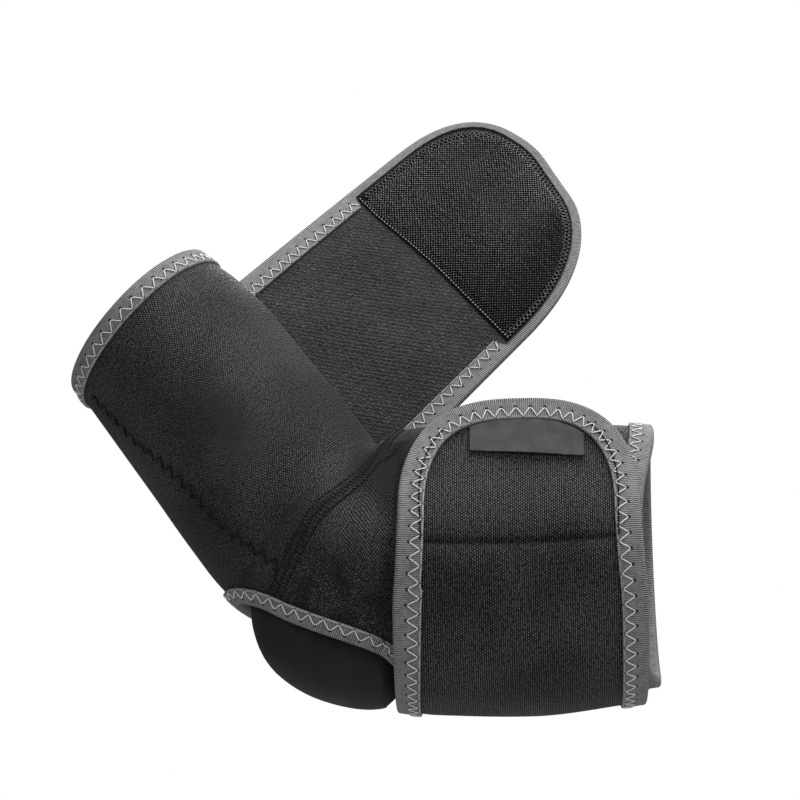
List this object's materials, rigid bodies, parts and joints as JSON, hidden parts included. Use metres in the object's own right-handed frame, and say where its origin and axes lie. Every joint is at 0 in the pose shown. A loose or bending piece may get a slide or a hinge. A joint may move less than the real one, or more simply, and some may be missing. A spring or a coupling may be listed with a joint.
{
  "type": "elbow brace",
  "caption": "Elbow brace of knit-faced foam, held bent as worn, with taped edges, a stretch panel at the elbow tip and wrap straps with hook pads, the forearm strap open.",
  "frame": {"origin": "where the forearm axis and the upper-arm axis cross, on the elbow's hinge axis", "axes": "+X up the upper arm towards the shoulder, +Y along the elbow's hinge axis towards the inside of the arm, +Z to the crook side in the plane of the arm"},
  "size_m": [0.2483, 0.179, 0.3125],
  "materials": {
    "knit_foam": "matte black jersey laminated on foam, with a faint sheen along the wales",
    "stretch_panel": "smooth matte black stretch cloth",
    "edge_tape": "mid-grey ribbed tape with a slight satin sheen",
    "hook_tape": "black moulded hooks on a woven ground, with small glints",
    "woven_label": "plain dark-grey woven label"
  },
  "bodies": {
    "root": {"forearm_sleeve": "knit_foam", "upper_arm_sleeve": "knit_foam", "elbow_insert": "stretch_panel", "forearm_strap": "knit_foam", "upper_arm_strap": "knit_foam", "forearm_hook_pad": "hook_tape", "upper_arm_hook_pad": "hook_tape", "forearm_rim_binding": "edge_tape", "upper_arm_rim_binding": "edge_tape", "elbow_opening_binding": "edge_tape", "forearm_strap_binding": "edge_tape", "upper_arm_strap_binding": "edge_tape", "label": "woven_label"}
  },
  "joints": []
}
